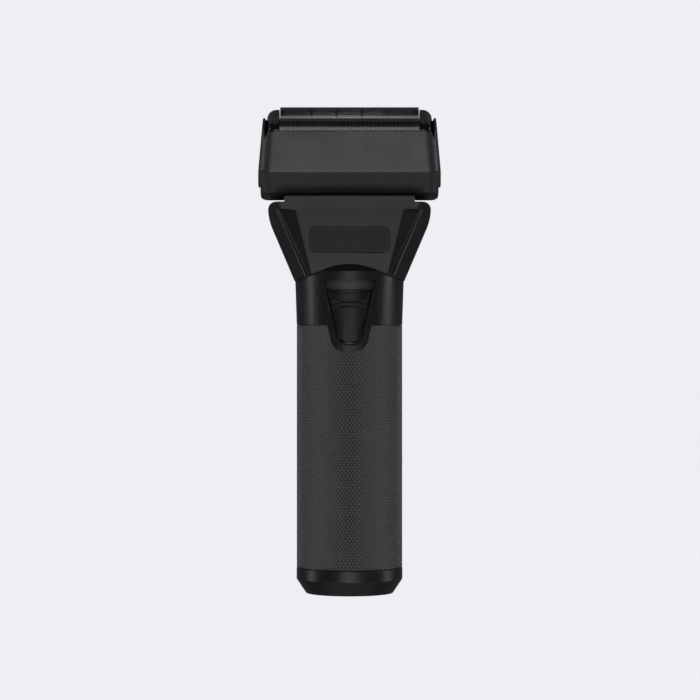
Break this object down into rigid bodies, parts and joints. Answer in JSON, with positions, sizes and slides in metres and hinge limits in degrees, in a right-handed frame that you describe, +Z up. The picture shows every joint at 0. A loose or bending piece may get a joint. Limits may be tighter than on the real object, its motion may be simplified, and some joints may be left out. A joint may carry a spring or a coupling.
{
  "type": "foil shaver",
  "caption": "Cordless barber's foil shaver with a round knurled grip, a faceted flared neck, a tilted head with two sprung foils and a pull-out battery pack.",
  "frame": {"origin": "middle of the base's flat underside, on the grip's axis", "axes": "+Z up along the grip, front (switch side) towards -Y, foils along X"},
  "size_m": [0.0618, 0.039, 0.1654],
  "materials": {
    "painted_shell": "matte black coat",
    "knurled_sleeve": "matte black, diamond knurl",
    "head_shell": "satin black coat",
    "slider": "satin black, bevelled",
    "badge": "satin black, blank",
    "gloss_black": "gloss black",
    "foil_steel": "black-coated perforated foil",
    "inner_plastic": "moulded, matte",
    "steel": "plain steel",
    "cell_wrap": "shrink wrap",
    "board": "lacquered circuit board",
    "components": "moulded chips",
    "copper": "enamelled copper wire",
    "bronze": "sintered bronze",
    "contact_metal": "gilt contacts",
    "rubber": "soft seal",
    "magnet": "sintered ferrite"
  },
  "bodies": {
    "handle": {"grip_sleeve": "knurled_sleeve", "chassis_front": "inner_plastic", "chassis_back": "inner_plastic", "chassis_screws": "steel", "bay_contacts": "contact_metal", "neck_front_shell": "painted_shell", "neck_back_shell": "painted_shell", "neck_screws": "steel", "badge_plate": "badge", "circuit_board": "board", "slide_switch": "steel", "board_components": "components", "motor_can": "steel", "motor_end_cap": "inner_plastic", "motor_bushings": "bronze", "motor_magnets": "magnet", "motor_mount": "inner_plastic", "motor_screws": "steel", "drive_frame": "inner_plastic", "guide_rods": "steel", "head_base": "head_shell", "head_gasket": "rubber", "head_screws": "steel", "post_seals": "rubber", "release_springs": "steel"},
    "battery_pack": {"base_cap": "painted_shell", "charging_contacts": "contact_metal", "base_screws": "steel", "battery_case": "inner_plastic", "battery_cell": "cell_wrap", "protection_board": "board", "battery_lid": "inner_plastic", "battery_terminals": "contact_metal", "catch_spring": "steel"},
    "battery_catch": {"catch_button": "gloss_black"},
    "power_switch": {"switch_slider": "slider", "switch_carriage": "inner_plastic", "switch_lever": "inner_plastic"},
    "rotor": {"motor_shaft": "steel", "armature_core": "steel", "armature_windings": "copper", "eccentric_cam": "inner_plastic"},
    "front_drive": {"front_bridge": "inner_plastic", "front_cutter_spring": "steel"},
    "back_drive": {"back_bridge": "inner_plastic", "back_cutter_spring": "steel"},
    "front_cutter": {"front_cutter_holder": "inner_plastic", "front_cutter_blades": "steel"},
    "back_cutter": {"back_cutter_holder": "inner_plastic", "back_cutter_blades": "steel"},
    "foil_head": {"foil_frame": "head_shell", "end_cheeks": "gloss_black", "centre_bar": "gloss_black", "foil_springs": "steel"},
    "front_foil": {"front_foil": "foil_steel", "front_foil_carriers": "inner_plastic"},
    "back_foil": {"back_foil": "foil_steel", "back_foil_carriers": "inner_plastic"},
    "left_release": {"left_release_button": "gloss_black"},
    "right_release": {"right_release_button": "gloss_black"}
  },
  "joints": [
    {"name": "power_slide", "type": "slide", "parent": "handle", "child": "power_switch", "axis": [0, 0, 1], "range_m": [0, 0.0033]},
    {"name": "battery_out", "type": "slide", "parent": "handle", "child": "battery_pack", "axis": [0, 0, -1], "range_m": [0, 0.082]},
    {"name": "catch_press", "type": "slide", "parent": "battery_pack", "child": "battery_catch", "axis": [0, -1, 0], "range_m": [0, 0.0008], "stiffness_N_per_m": 300, "springref_m": -0.0005},
    {"name": "frame_lift", "type": "slide", "parent": "handle", "child": "foil_head", "axis": [0, -0.3746, 0.9272], "range_m": [0, 0.024]},
    {"name": "front_foil_float", "type": "slide", "parent": "foil_head", "child": "front_foil", "axis": [0, -0.3746, 0.9272], "range_m": [-0.0012, 0], "stiffness_N_per_m": 250, "springref_m": 0.0006},
    {"name": "back_foil_float", "type": "slide", "parent": "foil_head", "child": "back_foil", "axis": [0, -0.3746, 0.9272], "range_m": [-0.0012, 0], "stiffness_N_per_m": 250, "springref_m": 0.0006},
    {"name": "front_oscillate", "type": "slide", "parent": "handle", "child": "front_drive", "axis": [1, 0, 0], "range_m": [-0.0012, 0.0012]},
    {"name": "back_oscillate", "type": "slide", "parent": "handle", "child": "back_drive", "axis": [1, 0, 0], "range_m": [-0.0012, 0.0012]},
    {"name": "front_cutter_float", "type": "slide", "parent": "front_drive", "child": "front_cutter", "axis": [0, -0.3746, 0.9272], "range_m": [-0.0012, 0]},
    {"name": "back_cutter_float", "type": "slide", "parent": "back_drive", "child": "back_cutter", "axis": [0, -0.3746, 0.9272], "range_m": [-0.0012, 0]},
    {"name": "left_release_press", "type": "slide", "parent": "handle", "child": "left_release", "axis": [1, 0, 0], "range_m": [0, 0.0012], "stiffness_N_per_m": 400, "springref_m": -0.0005},
    {"name": "right_release_press", "type": "slide", "parent": "handle", "child": "right_release", "axis": [-1, 0, 0], "range_m": [0, 0.0012], "stiffness_N_per_m": 400, "springref_m": -0.0005},
    {"name": "rotor_spin", "type": "hinge", "parent": "handle", "child": "rotor", "pos_m": [0, 0.001, 0.11], "axis": [0, 0, 1], "continuous": true}
  ],
  "couplings": [
    {"joint": "back_oscillate", "follows": "front_oscillate", "ratio": -1},
    {"joint": "front_cutter_float", "follows": "front_foil_float", "ratio": 1},
    {"joint": "back_cutter_float", "follows": "back_foil_float", "ratio": 1}
  ]
}
